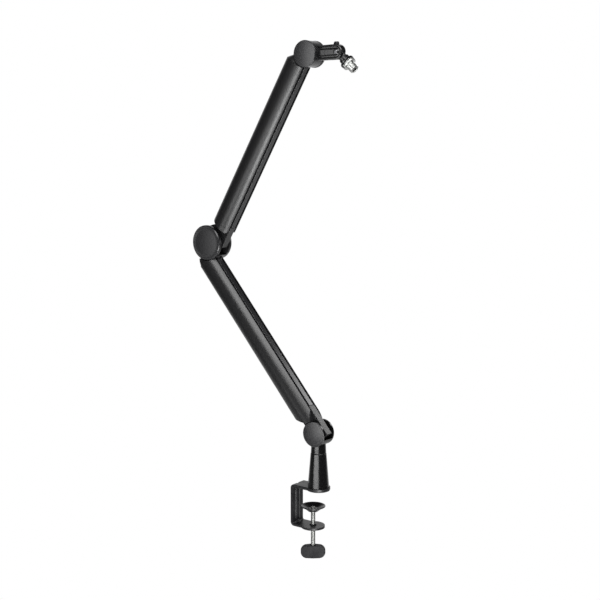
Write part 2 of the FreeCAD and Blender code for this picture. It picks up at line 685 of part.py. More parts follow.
polygon(jaw, [(fork_back, "-2 * link_radius"), (fork_front, "-2 * link_radius"),
              (fork_front, "link_radius - link_roof"), (fork_back, "link_radius - link_roof")])
cut(link, jaw, "2 * fork_half")
cut(link, circle(sketch_on(link, "XZ_Plane"), "0", "0", "pin_radius + turn_fit"))
cut(link, circle(sketch_on(link, "XZ_Plane"), "link_length", "0", "tilt_pin_radius + press_fit"))
lock_hole = sketch_on(link, "XY_Plane", "link_radius + 1")
circle(lock_hole, "link_length - lock_setback", "0", "lock_shank + turn_fit")
cut(link, lock_hole, "link_roof + 2", "One side")

# Tilt pin riveted across the fork, and the thumb screw that locks the tilt from above.
tilt_frame = Placement(tilt_pivot, link_frame.Rotation)
pin = round_pin("tilt_pin", tilt_frame, "0", "0", "tilt_pin_radius", "tongue_half + tilt_pin_head_height")
for level in ("tongue_half", "-tongue_half - tilt_pin_head_height"):
    rivet = circle(sketch_on(pin, "XZ_Plane", level), "0", "0", "tilt_pin_head")
    pad(pin, rivet, "tilt_pin_head_height", "One side")
lock_place = tilt_frame.multVec(Vector(-size("lock_setback"), 0, 0))
lock = new_body("tilt_lock_screw", Placement(lock_place, link_frame.Rotation))
lock_foot = "holder_hub + 4 * side_fit"
lock_seat = "link_radius + 4 * side_fit"
lock_top = lock_seat + " + lock_head_height"
turn(lock, [("0", lock_foot), ("lock_shank", lock_foot), ("lock_shank", lock_seat),
            ("lock_foot_radius", lock_seat), ("lock_head", lock_seat + " + lock_head_height / 3"),
            ("lock_head", lock_seat + " + lock_head_height / 2"), ("lock_top", lock_top), ("0", lock_top)],
     "V_Axis")

# Tilting holder in the fork: a flat hub, a round socket and a flange for the microphone's thread.
holder = new_body("mic_holder", holder_frame)
pad(holder, circle(sketch_on(holder, "XZ_Plane"), "0", "0", "holder_hub"), "2 * holder_half")
neck = sketch_on(holder, "XZ_Plane")
polygon(neck, [("0", "-holder_neck_half"), ("holder_flange_start", "-holder_neck_half"),
               ("holder_flange_start", "holder_neck_half"), ("0", "holder_neck_half")])
pad(holder, neck, "2 * holder_half")
turn(holder, [("holder_socket_start", "0"), ("holder_socket_start", "holder_socket_radius"),
              ("holder_flange_start", "holder_socket_radius"),
              ("holder_flange_start", "holder_flange_radius"), ("holder_end", "holder_flange_radius"),
              ("holder_end", "0")], "H_Axis")
cut(holder, circle(sketch_on(holder, "XZ_Plane"), "0", "0", "tilt_pin_radius + turn_fit"))
cut(holder, circle(sketch_on(holder, "YZ_Plane", "holder_end"), "0", "0", "stud_shank + press_fit"),
    "stud_shank_length + side_fit", "One side")
stud = new_body("mic_stud", holder_frame)
stud_end = "holder_end + stud_length"
shank_end = "holder_end - stud_shank_length"
neck_end = "holder_end + stud_neck_length"
bore_end = stud_end + " - stud_bore_depth"
turn(stud, [(shank_end, "0"), (shank_end, "stud_shank"), ("holder_end", "stud_shank"),
            ("holder_end", "stud_neck"), (neck_end, "stud_neck"), (neck_end, "stud_radius"),
            (stud_end + " - stud_edge", "stud_radius"), (stud_end, "stud_radius - stud_edge"),
            (stud_end, "stud_bore"), (bore_end, "stud_bore"), (bore_end, "0")], "H_Axis")
ring_end = "ring_start + ring_width"
nut = new_body("stud_ring", holder_frame)
turn(nut, [("ring_start", "stud_neck + turn_fit"), ("ring_start", "ring_radius - ring_edge"),
           ("ring_start + ring_edge", "ring_radius"), (ring_end + " - ring_edge", "ring_radius"),
           (ring_end, "ring_radius - ring_edge"), (ring_end, "stud_neck + turn_fit")], "H_Axis")

# Every sub-part is tested, then written in its place.
doc.recompute()
for item in doc.Objects:
    if "Invalid" in item.State or "Error" in item.State:
        raise RuntimeError("%s failed: %s" % (item.Label, item.State))
os.makedirs("parts", exist_ok=True)
for body in sub_parts:
    if body.Shape.isNull() or not body.Shape.isValid():
        raise RuntimeError("%s has no sound shape" % body.Label)
    body.Shape.exportStep("parts/%s.step" % body.Label)
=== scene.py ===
import json
import math
import bmesh
import bpy
from mathutils import Matrix, Vector


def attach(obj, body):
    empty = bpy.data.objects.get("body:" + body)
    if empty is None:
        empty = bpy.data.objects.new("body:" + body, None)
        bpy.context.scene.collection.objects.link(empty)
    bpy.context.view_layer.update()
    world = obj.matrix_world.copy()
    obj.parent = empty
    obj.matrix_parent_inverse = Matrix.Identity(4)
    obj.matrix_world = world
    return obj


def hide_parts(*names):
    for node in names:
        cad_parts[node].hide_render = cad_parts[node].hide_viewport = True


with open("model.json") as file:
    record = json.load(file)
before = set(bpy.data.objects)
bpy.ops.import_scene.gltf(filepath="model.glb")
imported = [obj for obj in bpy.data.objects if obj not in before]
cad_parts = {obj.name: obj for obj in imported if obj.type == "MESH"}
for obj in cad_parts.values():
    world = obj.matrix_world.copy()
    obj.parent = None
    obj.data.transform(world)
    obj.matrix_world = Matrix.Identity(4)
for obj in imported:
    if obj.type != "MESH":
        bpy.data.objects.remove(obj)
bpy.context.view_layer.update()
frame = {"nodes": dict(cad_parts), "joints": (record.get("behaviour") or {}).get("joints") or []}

# Clamp plate: 4 mm steel strip, blanked with two round-ended lugs and bent twice into a C. A rib is
# pressed along its back and a dart across each bend, so both sides show them. Painted satin black.
MM = 0.001


def linear(hexa):
    """sRGB hex colour as linear RGBA."""
    channels = [int(hexa[k:k + 2], 16) / 255 for k in (1, 3, 5)]
    return [c / 12.92 if c <= 0.04045 else ((c + 0.055) / 1.055) ** 2.4 for c in channels] + [1.0]


def add_node(tree, kind, links=(), **settings):
    """Node with its settings; links are (input name, source socket)."""
    node = tree.nodes.new(kind)
    for name, value in settings.items():
        if hasattr(node, name):
            setattr(node, name, value)
        else:
            node.inputs[name.replace("_", " ")].default_value = value
    for name, source in links:
        tree.links.new(source, node.inputs[name])
    return node


def coated_material(name, hexa, roughness, grit_mm, relief_mm, metallic=0.0, spread=0.06,
                    specular=0.8):
    """Surface with a fine grain, which varies its gloss a little and raises a slight relief."""
    material = bpy.data.materials.new(name)
    material.use_nodes = True
    tree = material.node_tree
    shader = tree.nodes["Principled BSDF"]
    shader.inputs["Base Color"].default_value = linear(hexa)
    shader.inputs["Metallic"].default_value = metallic
    shader.inputs["Specular IOR Level"].default_value = specular
    place = add_node(tree, "ShaderNodeTexCoord")
    # Most real grains are a few times finer. They are drawn coarser here, about a millimetre wide,
    # so that they show in close views; from further away they soften the gloss.
    grain = add_node(tree, "ShaderNodeTexNoise", [("Vector", place.outputs["Object"])],
                     Scale=1 / (grit_mm * MM), Detail=3.0)
    gloss = add_node(tree, "ShaderNodeMapRange", [("Value", grain.outputs["Fac"])],
                     To_Min=roughness - spread, To_Max=roughness + spread)
    tree.links.new(gloss.outputs["Result"], shader.inputs["Roughness"])
    bump = add_node(tree, "ShaderNodeBump", [("Height", grain.outputs["Fac"])],
                    Strength=0.2, Distance=relief_mm * MM)
    tree.links.new(bump.outputs["Normal"], shader.inputs["Normal"])
    return material


def only(kind, geom):
    """Vertices or edges picked out of mixed geometry."""
    return [g for g in geom if isinstance(g, kind)]


def round_edges(shape, edges, width_mm, segments):
    """Edges rounded over a width."""
    bmesh.ops.bevel(shape, geom=edges, offset=width_mm * MM, segments=segments, profile=0.5,
                    affect="EDGES", clamp_overlap=True, material=-1)


def soften(shape, width_mm, segments, angle):
    """Round every edge that is sharper than the angle."""
    edges = [e for e in shape.edges
             if e.is_manifold and e.calc_face_angle() > math.radians(angle)]
    round_edges(shape, edges, width_mm, segments)


def piece(name, shape, body, material, nodes, place=Matrix(), smooth=32):
    """Finished mesh in its place, riding its body and standing for its solids."""
    bmesh.ops.remove_doubles(shape, verts=shape.verts, dist=0.002 * MM)
    bmesh.ops.transform(shape, matrix=place, verts=shape.verts)
    bmesh.ops.recalc_face_normals(shape, faces=shape.faces)
    mesh = bpy.data.meshes.new(name)
    shape.to_mesh(mesh)
    shape.free()
    mesh.shade_smooth()
    mesh.set_sharp_from_angle(angle=math.radians(smooth))
    mesh.materials.append(material)
    thing = bpy.data.objects.new(name, mesh)
    bpy.context.scene.collection.objects.link(thing)
    even = thing.modifiers.new("even shading", "WEIGHTED_NORMAL")
    even.keep_sharp = True
    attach(thing, body)
    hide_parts(*nodes)


# Sprayed and baked: a soft, broad sheen on a faintly uneven skin.
black_paint = coated_material("satin black paint on steel", "#18181a", 0.4, 1.6, 0.03, specular=0.5)

plate, lug, half_jaw = 4.0, 21.0, 16.0
jaw_top, jaw_foot, jaw_back, bend = 5.5, -71.0, -49.5, 7.0
screw_x = -11.5
rib_half, rib_core, rib_press, rib_reach = 4.6, 2.6, 3.0, 27.0
dart_leg, dart_press = 9.0, 0.34
columns = [-half_jaw, -rib_half, -rib_core, 0.0, rib_core, rib_half, half_jaw]
lug_start = -math.sqrt(lug ** 2 - half_jaw ** 2)


def extend(strip, edges, step_mm, parts):
    """Run the strip straight on."""
    for _ in range(parts):
        grown = bmesh.ops.extrude_edge_only(strip, edges=edges)["geom"]
        bmesh.ops.translate(strip, vec=Vector(step_mm) * MM / parts,
                            verts=only(bmesh.types.BMVert, grown))
        edges = [e for e in only(bmesh.types.BMEdge, grown)
                 if abs(e.verts[0].co.y - e.verts[1].co.y) > MM * 0.5]
    return edges


def fold(strip, edges, centre_mm):
    """Bend the strip a quarter turn."""
    geom = edges + list({v for e in edges for v in e.verts})
    last = bmesh.ops.spin(strip, geom=geom, cent=Vector(centre_mm) * MM, axis=(0, 1, 0),
                          angle=-math.pi / 2, steps=8, use_merge=False)["geom_last"]
    return only(bmesh.types.BMEdge, last)


bm = bmesh.new()
row = [bm.verts.new((lug_start * MM, y * MM, jaw_top * MM)) for y in columns]
front_top = [bm.edges.new(pair) for pair in zip(row, row[1:])]
edges = extend(bm, front_top, (jaw_back + bend - lug_start, 0, 0), 3)
edges = fold(bm, edges, (jaw_back + bend, 0, jaw_top - bend))
edges = extend(bm, edges, (0, 0, jaw_foot - jaw_top + 2 * bend), 14)
edges = fold(bm, edges, (jaw_back + bend, 0, jaw_foot + bend))
front_low = extend(bm, edges, (screw_x + lug_start - jaw_back - bend, 0, 0), 3)
lug_turn = 2 * (math.pi - math.acos(-lug_start / lug))
for front, centre in ((front_top, 0.0), (front_low, screw_x)):
    ends = sorted({v for e in front for v in e.verts}, key=lambda v: v.co.y)
    bmesh.ops.spin(bm, geom=[ends[0]], cent=(centre * MM, 0, ends[0].co.z), axis=(0, 0, 1),
                   angle=lug_turn, steps=48, use_merge=False)
    bmesh.ops.remove_doubles(bm, verts=bm.verts, dist=0.01 * MM)
    arc = [e for e in bm.edges if e.is_wire]
    bmesh.ops.contextual_create(bm, geom=[e for e in front if e.is_valid] + arc)
jaw_middle = (jaw_top + jaw_foot) / 2
for v in bm.verts:
    x, y, z = v.co / MM
    if abs(y) > rib_half - 0.1:
        continue
    press = (1 - abs(y) / rib_half) ** 0.5
    if abs(x - jaw_back) < 0.01 and abs(z - jaw_middle) < rib_reach:
        v.co.x += rib_press * press * MM
    corner, inward = (jaw_top, -1) if z > jaw_middle else (jaw_foot, 1)
    depth = dart_leg - (x - jaw_back) - abs(z - corner)
    if depth > 0:
        v.co += Vector((1, 0, inward)) * depth * dart_press * press * MM
bmesh.ops.recalc_face_normals(bm, faces=bm.faces)
top_face = max(bm.faces, key=lambda f: f.calc_center_median().z)
if top_face.normal.z < 0:
    bmesh.ops.reverse_faces(bm, faces=bm.faces)
bmesh.ops.solidify(bm, geom=bm.faces[:], thickness=plate * MM)
soften(bm, 0.7, 2, 50)
piece("clamp_plate", bm, "clamp", black_paint, ["clamp_frame"])

# Jaw pad and post bolt: the pad is moulded rubber, glued under the upper jaw to spare the desk. The
# countersunk bolt above it is zinc-plated steel and holds the post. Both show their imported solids.

# Moulded rubber: dull black, with hardly any reflection.
rubber = coated_material("moulded EPDM rubber", "#161616", 0.8, 1.0, 0.03)
# Barrel plating: a pale grey metal with a soft, slightly milky shine.
steel_bright = coated_material("zinc-plated steel", "#a4a5a2", 0.5, 0.6, 0.004, metallic=1.0,
                               spread=0.03)


def dress(node, material):
    """Solid shown as it is, in its material."""
    mesh = frame["nodes"][node].data
    mesh.materials.clear()
    mesh.materials.append(material)


dress("jaw_pad", rubber)
dress("post_bolt", steel_bright)

# Clamp screw: M8 zinc-plated rod with rolled threads. Its upper end is riveted over inside the cup.
# The thread is one helical ridge on a plain core.


def lathe(profile, steps, closed=False):
    """Profile of (radius, height) in millimetres turned about Z."""
    shape = bmesh.new()
    points = [shape.verts.new((r * MM, 0, h * MM)) for r, h in profile]
    ring = list(zip(points, points[1:])) + ([(points[-1], points[0])] if closed else [])
    chain = [shape.edges.new(pair) for pair in ring]
    bmesh.ops.spin(shape, geom=points + chain, cent=(0, 0, 0), axis=(0, 0, 1), angle=2 * math.pi,
                   steps=steps, use_merge=True)
    bmesh.ops.remove_doubles(shape, verts=shape.verts, dist=0.002 * MM)
    bmesh.ops.recalc_face_normals(shape, faces=shape.faces)
    return shape


def join(target, other):
    """Shells of the other bmesh added to the target."""
    mesh = bpy.data.meshes.new("shell")
    other.to_mesh(mesh)
    other.free()
    target.from_mesh(mesh)
    bpy.data.meshes.remove(mesh)


def thread(radius, depth, pitch, low, high, steps=20):
    """Helical ridge of a screw thread about Z."""
    shape = bmesh.new()
    turns = (high - low) / pitch - 1
    flank = [(radius - depth, 0), (radius, pitch * 0.38), (radius, pitch * 0.5),
             (radius - depth, pitch * 0.88)]
    points = [shape.verts.new((r * MM, 0, (low + h) * MM)) for r, h in flank]
    chain = [shape.edges.new(pair) for pair in zip(points, points[1:])]
    count = int(turns * steps)
    bmesh.ops.spin(shape, geom=points + chain, cent=(0, 0, 0), axis=(0, 0, 1), steps=count,
                   angle=2 * math.pi * count / steps, dvec=(0, 0, pitch * MM / steps),
                   use_merge=False)
    return shape


cup_floor, cup_wall, knob_top = -40.0, 2.0, -104.0
screw_core, screw_crest, screw_depth, screw_pitch = 3.78, 3.98, 0.25, 1.25
screw_foot, screw_shoulder, thread_end = knob_top - 10, cup_floor - cup_wall - 0.1, cup_floor - 3.8
journal, rivet_neck = 3.9, 3.0
rivet_head = [(4.6, 4.1), (4.5, 5.0), (3.9, 6.0), (2.9, 6.6), (1.6, 7.0), (0, 7.1)]
screw_place = Matrix.Translation((screw_x * MM, 0, 0))
bm = lathe([(0, screw_foot), (screw_core, screw_foot), (screw_core, thread_end - 0.4),
            (journal, thread_end), (journal, screw_shoulder), (rivet_neck, screw_shoulder),
            (rivet_neck, cup_floor + rivet_head[0][1]),
            *[(r, cup_floor + h) for r, h in rivet_head]], 48)
join(bm, thread(screw_crest, screw_depth, screw_pitch, knob_top - 6, thread_end))
piece("screw_rod", bm, "screw", steel_bright, ["clamp_screw"], screw_place,
      smooth=40)

# Screw bush: turned steel, threaded inside and riveted in the lower lug. Its collar stands up round
# the screw, and it has the clamp's paint.
bush_bore, bush_foot, bush_collar, bush_bevel, bush_top = 4.06, 6.5, 5.2, 1.6, 2.2
lug_face = jaw_foot + plate
bm = lathe([(bush_bore, jaw_foot), (bush_foot, jaw_foot), (bush_foot, lug_face),
            (bush_collar, lug_face), (bush_collar, lug_face + bush_bevel),
            (bush_collar - 0.4, lug_face + bush_top), (bush_bore, lug_face + bush_top)],
           64, closed=True)
piece("screw_bush", bm, "clamp", black_paint, ["clamp_bush"], screw_place,
      smooth=40)

# Pressure cup: dished steel pressing with a rolled rim, free to turn on the screw's riveted end.
# It is dipped in gloss paint after pressing.

# Dipped paint: black and smooth, so that rims and cones show the lamps as sharp lines of light.
gloss_paint = coated_material("gloss black paint", "#141415", 0.23, 0.6, 0.001, spread=0.01)
cup_bore, cup_under = 3.08, 0.06 - cup_wall
cup_outside = [(cup_bore, cup_under), (7.0, cup_under), (9.0, -1.2), (14.6, 3.4), (18.9, 6.1)]
cup_rim = [(21.2, 6.9), (21.8, 7.3), (22.0, 7.9), (21.9, 8.5), (21.5, 8.9), (20.9, 9.0),
           (20.3, 8.8), (19.8, 8.3)]
cup_inside = [(18.3, 7.3), (13.6, 4.7), (10.4, 3.0), (9.2, 2.7), (8.4, 2.9), (7.4, 3.7), (6.4, 4.0),
              (cup_bore, 4.0)]
bm = lathe([(r, cup_floor + h) for r, h in cup_outside + cup_rim + cup_inside], 80, closed=True)
piece("cup_dish", bm, "cup", gloss_paint, ["pressure_cup"], screw_place,
      smooth=40)

# Paddle knob: nylon, moulded on the screw's lower end. It is thickest along its middle, so that
# each side has a crease, and its corners are round for the fingers.

# Moulded nylon: an even, dull dark grey with no clear reflections.
knob_plastic = coated_material("moulded black nylon", "#19191b", 0.55, 1.2, 0.01, spread=0.03,
                               specular=0.3)
knob_half, knob_high, knob_round, knob_thick, knob_tip, knob_rim = 22.0, 23.5, 10.5, 14.0, 7.5, 1.4
knob_boss, knob_turn = 5.6, 36.5
bm = bmesh.new()
knob_size = (2 * knob_half * MM, knob_thick * MM, knob_high * MM, 1)
bmesh.ops.create_cube(bm, size=1.0, matrix=Matrix.Diagonal(knob_size))
corners = [e for e in bm.edges if abs(e.verts[0].co.y - e.verts[1].co.y) > MM]
round_edges(bm, corners, knob_round, 10)
bmesh.ops.bisect_plane(bm, geom=bm.verts[:] + bm.edges[:] + bm.faces[:], plane_co=(0, 0, 0),
                       plane_no=(1, 0, 0))
for v in bm.verts:
    v.co.y *= 1 - (1 - knob_tip / knob_thick) * abs(v.co.x) / (knob_half * MM)
rims = [e for e in bm.edges if e.calc_face_angle() > math.radians(60)]
round_edges(bm, rims, knob_rim, 4)
join(bm, lathe([(0, knob_high / 2 - 1), (knob_boss, knob_high / 2 - 1), (knob_boss, knob_high / 2),
                (3.4, knob_high / 2), (0, knob_high / 2)], 32))
knob_place = Matrix.Translation((screw_x * MM, 0, (knob_top - knob_high / 2) * MM))
knob_place = knob_place @ Matrix.Rotation(math.radians(knob_turn), 4, "Z")
piece("paddle_knob", bm, "screw", knob_plastic, ["clamp_knob"], knob_place,
      smooth=25)

# Post: turned cone, bolted to the jaw from below and painted gloss black, so that it shows the
# lamps as upright streaks. A dark bearing washer fills the seam under the fork's collar.
post_foot, post_neck, post_top, post_bevel = 19.0, 14.0, 67.5, 0.8
spindle_bore, spindle_depth = 8.1, 6
bm = lathe([(0, jaw_top), (post_foot, jaw_top), (post_neck, post_top - post_bevel),
            (post_neck - post_bevel, post_top), (spindle_bore, post_top),
            (spindle_bore, post_top - spindle_depth), (0, post_top - spindle_depth)], 128)
soften(bm, 0.5, 2, 40)
piece("post_cone", bm, "clamp", gloss_paint, ["post"])
dress("swivel_washer", rubber)
dress("swivel_spindle", steel_bright)

# Base fork: cast collar and slotted barrel in one, swivelling on the post. The slot takes the lower
# arm's tongue and its floor is the arm's stop. It has the post's gloss paint.
joints = {joint["name"]: joint for joint in frame["joints"]}
base, elbow, head, tilt = [Vector(joints[name]["pos_m"]) for name in
                           ("lower_lean", "elbow_fold", "head_tilt", "mic_tilt")]
lower_angle, upper_angle = 130.4, 59.7


def disc(radius, half, centre=(0, 0), steps=128):
    """Round slab across Y."""
    shape = bmesh.new()
    place = Matrix.Translation((centre[0] * MM, 0, centre[1] * MM))
    bmesh.ops.create_cone(shape, cap_ends=True, segments=steps, radius1=radius * MM,
                          radius2=radius * MM, depth=2 * half * MM,
                          matrix=place @ Matrix.Rotation(math.pi / 2, 4, "X"))
    return shape


def prism(outline, run):
    """Solid from the corners of one face, run straight on."""
    shape = bmesh.new()
    face = shape.faces.new([shape.verts.new([c * MM for c in corner]) for corner in outline])
    grown = bmesh.ops.extrude_face_region(shape, geom=[face])["geom"]
    bmesh.ops.translate(shape, vec=[c * MM for c in run], verts=only(bmesh.types.BMVert, grown))
    bmesh.ops.recalc_face_normals(shape, faces=shape.faces)
    return shape


def slab(outline, half):
    """Flat slab across Y from its outline in X and Z."""
    return prism([(x, -half, z) for x, z in outline], (0, 2 * half, 0))


def carve(shape, *cutters, operation="DIFFERENCE"):
    """Shape with the cutters taken away from it, or joined to it."""
    things = []
    for source in (shape, *cutters):
        mesh = bpy.data.meshes.new("cut")
        source.to_mesh(mesh)
        source.free()
        things.append(bpy.data.objects.new("cut", mesh))
        bpy.context.scene.collection.objects.link(things[-1])
    for cutter in things[1:]:
        cut = things[0].modifiers.new("cut", "BOOLEAN")
        cut.object, cut.operation, cut.solver = cutter, operation, "EXACT"
    done = things[0].evaluated_get(bpy.context.evaluated_depsgraph_get())
    result = bmesh.new()
    result.from_mesh(done.to_mesh())
    for thing in things:
        mesh = thing.data
        bpy.data.objects.remove(thing)
        bpy.data.meshes.remove(mesh)
    bmesh.ops.remove_doubles(result, verts=result.verts, dist=0.004 * MM)
    return result


def aim(angle, along, across=0.0):
    """Point at a distance along a direction in the folding plane and to the right of it."""
    a = math.radians(angle)
    return along * math.cos(a) + across * math.sin(a), along * math.sin(a) - across * math.cos(a)


far, wide = 90.0, 30.0
barrel, barrel_half, slot_half, tongue_half = 22.5, 15.0, 12.5, 7.0
slot_floor, slot_back, tongue_room = 14.8, 12.8, 15.6
collar_foot, collar_neck, collar_low, collar_high = 13.6, 12.3, -34.7, -4
forward, backward = lower_angle - 22, lower_angle + 28
slot = slab([aim(forward, -slot_floor, far), aim(forward, -slot_floor),
             aim(backward, 0, -slot_back), aim(backward, far, -slot_back), (-far, far), (far, far)],
            slot_half)
collar = lathe([(0, collar_low), (collar_foot, collar_low), (collar_neck, collar_high),
                (0, collar_high)], 128)
bm = carve(disc(barrel, barrel_half), collar, operation="UNION")
bm = carve(carve(bm, slot), disc(tongue_room, slot_half - 0.1, steps=64))
soften(bm, 0.5, 2, 40)
piece("base_fork", bm, "swivel", gloss_paint, ["base_yoke"],
      Matrix.Translation(base))

# Hinge caps: moulded discs pressed on both ends of each barrel, slightly domed. Those of the elbow
# have a raised rim and a groove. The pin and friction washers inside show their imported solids.

# Moulded and left as it comes from a fine-textured mould: dark grey with a blurred reflection.
moulded_cap = coated_material("moulded dark ABS", "#1b1b1d", 0.27, 0.8, 0.003, spread=0.01)


def close_hinge(hinge, body, centre, radius, half, rim=False):
    """Cap discs, pin and washers of one barrel."""
    thick, dome_rise, dome_steps = 1.6, 0.75, 8
    edge = [(0, 0), (radius, 0), (radius, thick - 1.3), (radius - 0.2, thick - 1.0),
            (radius - 0.7, thick - 0.8)]
    inner = radius - 1.2
    if rim:
        edge += [(radius - 1.4, thick), (radius - 3.9, thick), (radius - 4.2, thick - 0.2),
                 (radius - 4.3, thick - 0.9), (radius - 5.5, thick - 0.9),
                 (radius - 5.6, thick - 0.6)]
        inner = radius - 6.0
    shares = [1 - k / dome_steps for k in range(dome_steps + 1)]
    dome = [(inner * share, thick - dome_rise * share ** 2) for share in shares]
    for word, side in (("front", -1), ("back", 1)):
        place = Matrix.Translation(centre) @ Matrix.Rotation(-side * math.pi / 2, 4, "X")
        piece(f"{hinge}_disc_{word}", lathe(edge + dome, 128), body, moulded_cap,
              [f"{hinge}_cap_{word}"], place @ Matrix.Translation((0, 0, half * MM)), smooth=35)
    dress(hinge + "_pivot_pin", steel_bright)
    dress(hinge + "_friction_washers", rubber)


close_hinge("base", "swivel", base, barrel, barrel_half)

# Lower arm: extruded aluminium tube with a cable slot and a plastic cover strip in it. A cast
# knuckle is plugged into its lower end, with the tongue that turns in the fork.

# Powder coat: matte black, which gives the tubes a broad soft streak of light.
powder_coat = coated_material("black powder coat on aluminium", "#1a1a1b", 0.37, 0.7, 0.004,
                              spread=0.015)
tube, tube_bore, tube_slot, tube_lip = 21.7, 19.2, 10.3, 0.35
cover_face, cover_half, cover_base, cover_flange, cover_wall = 19.0, 5.2, 15.0, 11.2, 1.5
elbow_barrel, gap = 32.0, 0.5
lie_along = Matrix.Rotation(math.pi / 2, 4, "Y")


def pitched(point, angle):
    """Place at a point, with X raised to an angle in the folding plane."""
    return Matrix.Translation(point) @ Matrix.Rotation(-math.radians(angle), 4, "Y")


def rod(profile, closed=False):
    """Round shape along X from its (radius, distance) profile."""
    shape = lathe(profile, 128, closed)
    bmesh.ops.transform(shape, matrix=lie_along, verts=shape.verts)
    return shape


def box(low, high):
    """Rectangular block between two corners."""
    shape = bmesh.new()
    low, high = Vector(low) * MM, Vector(high) * MM
    size = Matrix.Diagonal((*(high - low), 1))
    bmesh.ops.create_cube(shape, size=1.0, matrix=Matrix.Translation((low + high) / 2) @ size)
    return shape


def arm_tube(name, node, body, start, end, place, *cutters):
    """Slotted tube along X with rounded lips."""
    shape = rod([(tube, start), (tube, end), (tube_bore, end), (tube_bore, start)], closed=True)
    mouth = box((start - 5, -tube_slot, -2 * tube), (end + 5, tube_slot, 0))
    shape = carve(shape, mouth, *cutters)
    soften(shape, tube_lip, 2, 40)
    piece(name, shape, body, powder_coat, [node], place)


def knuckle(name, node, body, start, rake, tongue, place, *rooms):
    """Shoulder below a tube, mitred towards the hinge, and the tongue in the barrel's slot."""
    shoulder, lip, flank, wire_way = 26, start - 7.6, tube / 2 - cover_face, 12
    mitre_edge = [(0.8, -1), (0.9, 0.3), (1.6, 2.2), (3.3, 4.6)]
    down, inward = mitre_edge[-1]
    back = [(start - s, tube - p) for s, p in mitre_edge]
    back += [(start - down - rake, -tube - inward), (start - far, -tube - inward),
             (start - far, tube + 1)]
    front = [(lip + tube, -2 * tube), (lip + tube, -tube / 2 - cover_face), (lip - tube, flank),
             (start - far, flank), (start - far, -2 * tube)]
    shape = carve(rod([(0, start), (tube, start), (tube, start - shoulder), (0, start - shoulder)]),
                  slab(back, wide), slab(front, wide),
                  box((-60, -tube_slot, -2 * tube), (start + 5, tube_slot, -wire_way)), *rooms)
    soften(shape, 0.8, 3, 40)
    blade = slab(tongue, tongue_half)
    soften(blade, 0.6, 3, 25)
    join(shape, blade)
    piece(name, shape, body, powder_coat, [node], place)


def cable_cover(name, node, body, start, end, place, *cutters):
    """Cover strip with its flanges inside the tube."""
    half = [(cover_flange, cover_wall - cover_base), (cover_flange, -cover_base),
            (cover_half, -cover_base), (cover_half, -cover_face)]
    section = [(-y, z) for y, z in half] + half[::-1]
    shape = prism([(start, y, z) for y, z in section], (end - start, 0, 0))
    if cutters:
        shape = carve(shape, *cutters)
    soften(shape, 0.6, 3, 40)
    piece(name, shape, body, moulded_cap, [node], place)


lower_start, lower_end = 46.0, 376.0
elbow_at = (400.0, -25.0)
lower_place = pitched(base, lower_angle)
lower_blade = [(lower_start, 12), (-7, 12), (-14, 5), (-14, -cover_face),
               (lower_start, -cover_face)]
knuckle("lower_tongue", "lower_knuckle", "lower_arm", lower_start, 2 * tube, lower_blade,
        lower_place, disc(barrel + gap, wide))
arm_tube("lower_barrel_tube", "lower_tube", "lower_arm", lower_start, lower_end, lower_place,
         disc(elbow_barrel + gap, wide, elbow_at))
cable_cover("lower_cover_strip", "lower_cable_cover", "lower_arm", lower_start + 0.4, lower_end,
            lower_place, disc(elbow_barrel + gap, wide, elbow_at))

# Elbow: a wider cast barrel, plugged into the lower tube's upper end and closed by rimmed caps.
# Its slot lets the upper arm's tongue swing between open and folded.

# Thin paint over a casting: nearly smooth, with a soft even sheen.
cast_paint = coated_material("satin black paint on cast aluminium", "#1b1b1c", 0.36, 0.8, 0.004,
                             spread=0.015)


def hinge_barrel(name, node, body, neck, centre, radius, half, place, *slots):
    """Slotted barrel and the neck that carries it on a tube's upper end."""
    cap_room = 20
    rooms = [disc(radius + gap, cap_room, centre) for _ in range(2)]
    for room, side in zip(rooms, (-1, 1)):
        bmesh.ops.translate(room, vec=(0, side * (half + cap_room) * MM, 0), verts=room.verts)
    shape = carve(neck, *rooms)
    shape = carve(shape, disc(radius, half, centre), operation="UNION")
    shape = carve(shape, *slots)
    soften(shape, 0.5, 2, 40)
    piece(name, shape, body, cast_paint, [node], place)


elbow_half, elbow_slot, elbow_room, neck_radius = 16.4, 11.4, 17.2, 20.3
folded = upper_angle - lower_angle
most_open, most_shut = folded + 50, folded - 35
swing_front, swing_foot, swing_heel = 29.8, 7.2, 9.8
swing = [aim(most_open, 0, -slot_back), aim(most_open, far, -slot_back), (far, -far),
         aim(most_shut, far, swing_front), aim(most_shut, swing_foot, swing_front),
         aim(most_shut, -slot_floor, swing_heel)]
elbow_slope = [(0.8, 16.4), (11.2, 4.1), (34, 4.1), (34, 60), (0.8, 60)]
neck = carve(rod([(0, lower_end), (neck_radius, lower_end), (neck_radius, elbow_at[0]),
                  (0, elbow_at[0])]),
             slab([(lower_end + s, p) for s, p in elbow_slope], wide))
hinge_barrel("elbow_drum", "elbow_yoke", "lower_arm", neck, elbow_at, elbow_barrel, elbow_half,
             lower_place, slab([(x + elbow_at[0], z + elbow_at[1]) for x, z in swing], elbow_slot),
             disc(elbow_room, elbow_slot, elbow_at, 64))
close_hinge("elbow", "lower_arm", elbow, elbow_barrel, elbow_half, rim=True)

